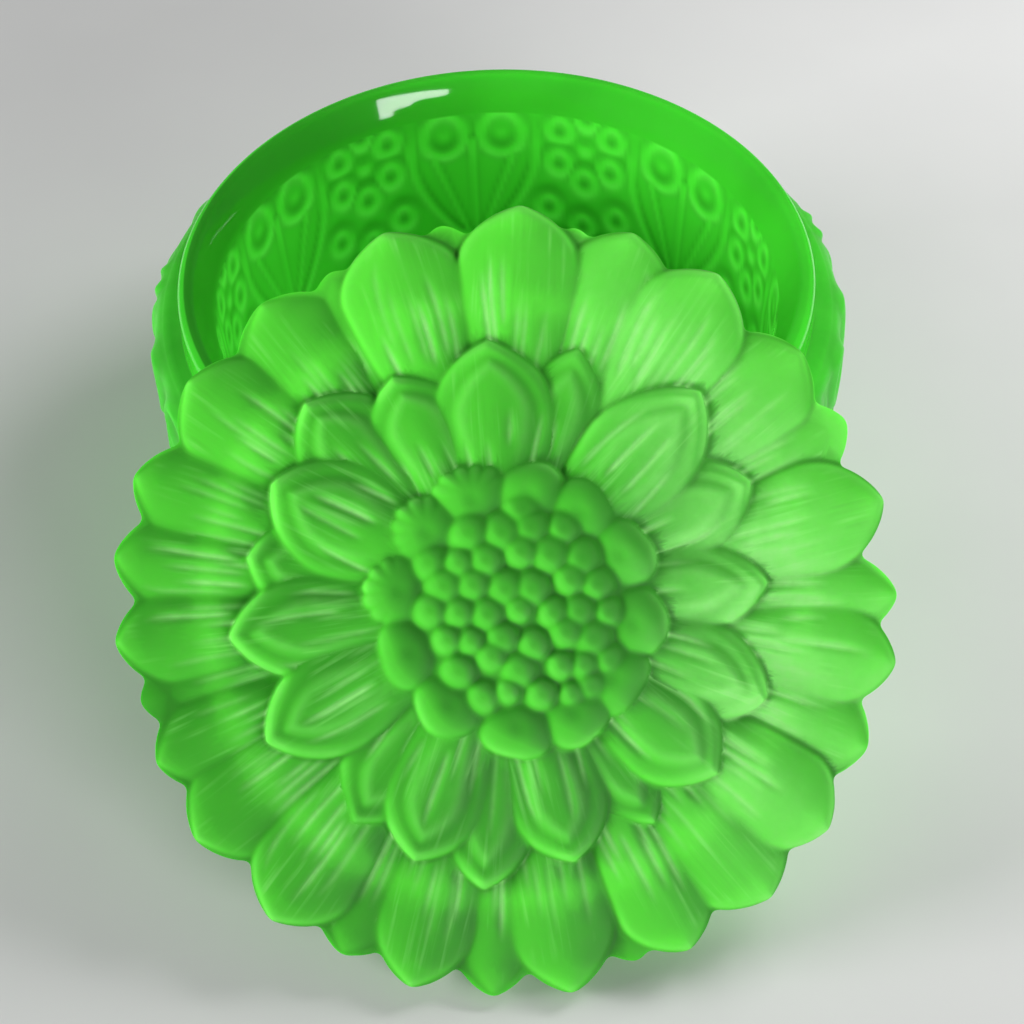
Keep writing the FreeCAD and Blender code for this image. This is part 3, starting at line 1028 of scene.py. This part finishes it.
@dataclass
class Bowl:
    """The bowl: relief wall, plain neck, soft rim and polished well.

    seen_lower is how far the outer relief seems to drop when seen through the wall; that
    image of the relief, with painted highlights and painted shade, is painted on the inner wall.
    """

    height: float = 54.0
    foot: float = 50.0
    wall: float = 61.8
    wall_start: float = 20.0
    neck: float = 57.3
    neck_height: float = 7.0
    mouth: float = 50.8
    rim_round: float = 1.6
    bevel_width: float = 4.0
    bevel_height: float = 6.0
    well: float = 48.4
    well_round: float = 9.0
    floor: float = 8.0
    seen_lower: float = 4.5
    columns: int = 210
    wall_triangles: int = 78000
    pattern: BowlRelief = field(default_factory=BowlRelief)

    def wall_section(self) -> list[Point]:
        """Section of the relief wall, from the neck's foot down and under the foot."""
        shoulder = self.height - self.neck_height
        soft = 2.6
        section = [(self.neck + 0.3, shoulder)]
        section += steps_between(section[-1], (self.wall - soft, shoulder), 0.9)
        section += arc_points((self.wall - soft, shoulder - soft), soft, 90, 0, 3)[1:]
        section += steps_between((self.wall, shoulder - soft), (self.wall, self.wall_start), 1.6)
        section += steps_between((self.wall, self.wall_start), (self.foot, 0.6), 2.0)
        section += [(self.foot - 0.7, 0.0)]
        return section

    def cup_section(self) -> list[Point]:
        """Section of the neck, rim and well, from the neck's foot to the axis."""
        top, soft = self.height, self.rim_round
        section = [(self.neck, self.height - self.neck_height + 0.2)]
        section += steps_between(section[-1], (self.neck, top - soft), 1.8)
        section += arc_points((self.neck - soft, top - soft), soft, 0, 90, 5)[1:]
        lip, lip_drop = self.mouth + self.bevel_width - 0.40, 0.42
        section += [(lip + 0.75, top), (lip + 0.35, top - 0.12), (lip, top - lip_drop)]
        throat, fall = self.mouth - 0.05, self.bevel_height + 1.98
        for share in (k / 10 for k in range(1, 11)):
            out = throat + (lip - throat) * (1 - share) ** 1.5
            section.append((out, top - lip_drop - fall * share))
        bend = (self.well - self.well_round, self.floor + self.well_round)
        section += steps_between(section[-1], (self.well, bend[1]), 1.0)
        section += arc_points(bend, self.well_round, 0, -90, 9)[1:]
        section += steps_between((bend[0], self.floor), (0, self.floor), 4.0)
        return section

    def foot_section(self) -> list[Point]:
        """Section of the flat foot, from its edge in to the axis."""
        return [(self.foot - 0.9, 0.0)] + steps_between((self.foot - 0.9, 0), (0, 0), 9.0)

    def press(self, blank: bpy.types.Object, relief: ReliefMap) -> None:
        """Raise the relief on the blank's wall and flare.

        Args:
            blank: the spun wall.
            relief: one repeat of the pattern.
        """
        points = coordinates(blank)
        out, angle = polar(points)
        z = points[:, 2]
        fade = ramp(z, 3.0, 9.0) * (1 - ramp(z, 44.5, 46.6))
        around = self.pattern.around(angle)
        out = out + self.pattern.proud * relief.read("height", around, z) * fade
        set_coordinates(blank, np.column_stack((out * np.cos(angle), out * np.sin(angle), z)))

    def dress(self, piece: bpy.types.Object, relief: ReliefMap) -> None:
        """Store what the glass shader reads, and give the piece its glass.

        Args:
            piece: the bowl.
            relief: one repeat of the pattern.
        """
        points = coordinates(piece)
        out, angle = polar(points)
        z = points[:, 2]
        around = self.pattern.around(angle)
        inside = (out < self.mouth + 0.3) & (z > self.floor - 0.5)
        outside = (~inside) & (z < self.height - self.neck_height + 0.1)
        fade = ramp(z, 8.0, 15.0) * (1 - ramp(z, 48.0, 51.5))
        # painted on the inner wall: the outer relief as seen through the glass, lighter where it
        # stands, with a painted highlight on the lower side of each raised line and painted shade on
        # its upper side and in its creases
        lifted = z - self.seen_lower
        seen = relief.read("height", around, lifted) * fade
        slope = relief.read("slope", around, lifted) * fade
        crevice = relief.read("crevice", around, np.where(inside, lifted, z))
        # the inner wall is darker towards the bottom of the well and towards the left and right sides
        deep = 1 - ramp(z, 8.0, 44.0)
        across = points[:, 0] / self.mouth
        left = np.clip(-across, 0, 1)
        through = 0.12 * seen + 1.6 * np.clip(slope, 0, 1)
        depth = 0.34 + 0.16 * deep - 0.30 * seen + 0.20 * np.abs(across)
        hidden = 0.08 * deep + 1.8 * np.clip(-slope, 0, 1) + 0.6 * fade * np.clip(crevice * 3, 0, 1)
        # painted shade on the bevel and the top of the inner wall, strongest on the left
        rim = (0.10 + 0.70 * left) * ramp(z, self.height - self.bevel_height - 3, self.height - 5)
        bevel = np.where(out < self.neck - 1.2, rim, 0.0)

        # each mark is for the inner wall, then the frosted wall, then the neck and bevel
        # on the frosted outer wall, the relief's creases get painted shade; its pale is the frost's
        # white
        marks = {
            "thickness_and_painted_light": (depth, 0.66, 0.50),
            "pale": (through, 0.2, 0.0),
            "shade": (hidden + rim, np.clip(crevice * 5, 0, 0.9), bevel),
            "frost": (0.0, 1.0, 0.0),
            "streak": (0.0, 0.0, 0.0),
        }
        for name, (well, wall, rest) in marks.items():
            values = np.where(inside, well, np.where(outside, wall, rest))
            set_attribute(piece, name, np.clip(values, 0, 1))
        piece.data.materials.append(BOWL_GLASS.material())

    def build(self) -> bpy.types.Object:
        """Model the bowl and dress it.

        Returns:
            The finished piece.
        """
        relief = self.pattern.map()
        piece = spun("bowl_glass", self.wall_section(), self.columns)
        divide(piece, 2)
        self.press(piece, relief)
        thin_out(piece, self.wall_triangles)
        cup = spun("bowl_cup", self.cup_section(), self.columns)
        divide(cup, 1)
        foot = spun("bowl_foot", self.foot_section(), self.columns)
        join_at_seam(piece, cup)
        join_at_seam(piece, foot)
        self.dress(piece, relief)
        smooth_shade(piece)
        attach(piece, "bowl")
        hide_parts("bowl")
        return piece


# ---------------------------------------------------------------- studio


@dataclass
class Studio:
    """Pale floor, soft lights and the camera."""

    elevation: float = 48.3
    roll: float = 1.75
    distance: float = 481.5
    lens: float = 84.375
    target: tuple[float, float, float] = (1.56, 0.0, -12.98)

    def floor(self) -> bpy.types.Object:
        """A wide pale floor at the height that the jar stands on."""
        deselect()
        bpy.ops.mesh.primitive_plane_add(size=6.0, location=(0, 0, 0))
        floor = bpy.context.object
        floor.name = "floor"
        floor.data.materials.append(PaintedFloor().material())
        return floor

    def softbox(
        self,
        name: str,
        direction: Sequence[float],
        far: float,
        size: Point,
        power: float,
        shine: bool = True,
    ) -> None:
        """An area light that looks at the jar.

        Args:
            name: the light's name.
            direction: where it stands, seen from the jar.
            far: its distance in metres.
            size: its width and height in metres.
            power: in watts.
            shine: whether the glass mirrors it.
        """
        data = bpy.data.lights.new(name, "AREA")
        data.shape = "RECTANGLE"
        data.size, data.size_y = size
        data.energy = power
        light = bpy.data.objects.new(name, data)
        bpy.context.scene.collection.objects.link(light)
        light.visible_glossy = shine
        aim = Vector((0, -0.02, 0.035))
        light.location = aim + Vector(direction).normalized() * far
        light.rotation_euler = (aim - light.location).to_track_quat("-Z", "Y").to_euler()

    def lights(self) -> None:
        """The window that the glass mirrors, two lights that only fill, and an even surround."""
        self.softbox("window", (0.47, -0.81, 0.35), 0.9, (0.40, 0.26), 3.4)
        self.softbox("left", (-0.95, -0.20, 0.22), 0.9, (0.4, 0.3), 8.0, shine=False)
        self.softbox("right", (0.60, 0.30, 0.60), 0.40, (0.2, 0.15), 1.1, shine=False)
        bpy.context.scene.view_settings.view_transform = "Standard"
        world = bpy.data.worlds.new("surround")
        bpy.context.scene.world = world
        world.use_nodes = True
        background = world.node_tree.nodes["Background"]
        background.inputs["Color"].default_value = (0.92, 0.95, 0.97, 1.0)
        background.inputs["Strength"].default_value = 0.08

    def camera(self) -> None:
        """The camera, looking down at the lid's face."""
        tilt, spin = math.radians(self.elevation), math.radians(self.roll)
        view = Vector((0, math.cos(tilt), -math.sin(tilt)))
        level = Vector((1, 0, 0))
        down = view.cross(level)
        right = level * math.cos(spin) + down * math.sin(spin)
        up = level * math.sin(spin) - down * math.cos(spin)
        spot = Vector(self.target) * MM - view * (self.distance * MM)
        data = bpy.data.cameras.new("camera")
        data.lens = self.lens
        data.clip_start = 0.01
        camera = bpy.data.objects.new("camera", data)
        bpy.context.scene.collection.objects.link(camera)
        turn = Matrix((right, up, -view)).transposed().to_4x4()
        camera.matrix_world = Matrix.Translation(spot) @ turn
        bpy.context.scene.camera = camera

    def build(self) -> None:
        """Set up floor, lights and camera."""
        self.floor()
        self.lights()
        self.camera()


LID_GLASS = GreenGlass(
    name="lid_frosted_glass",
    deep=(0.036, 0.270, 0.018, 1.0),
    body=(0.062, 0.490, 0.028, 1.0),
    thin=(0.115, 0.740, 0.048, 1.0),
    pale=(0.360, 0.880, 0.260, 1.0),
    roughness=0.60,
    scatter=0.0011,
    glow=0.25,
    gloss=0.30,
)

BOWL_GLASS = GreenGlass(
    name="bowl_pressed_glass",
    deep=(0.014, 0.200, 0.006, 1.0),
    body=(0.036, 0.430, 0.016, 1.0),
    thin=(0.070, 0.700, 0.034, 1.0),
    pale=(0.170, 0.860, 0.110, 1.0),
    roughness=0.45,
    scatter=0.003,
    glow=0.27,
    gloss=0.45,
)


def main() -> None:
    """Build the studio and the two pieces of glass, and note the sizes."""
    logging.basicConfig(level=logging.INFO, format="%(name)s: %(message)s")
    Studio().build()
    for maker in (Bowl(), Lid()):
        piece = maker.build()
        triangles = sum(len(face.vertices) - 2 for face in piece.data.polygons)
        log.info("%s: %d triangles", piece.name, triangles)


if __name__ == "__main__":
    main()
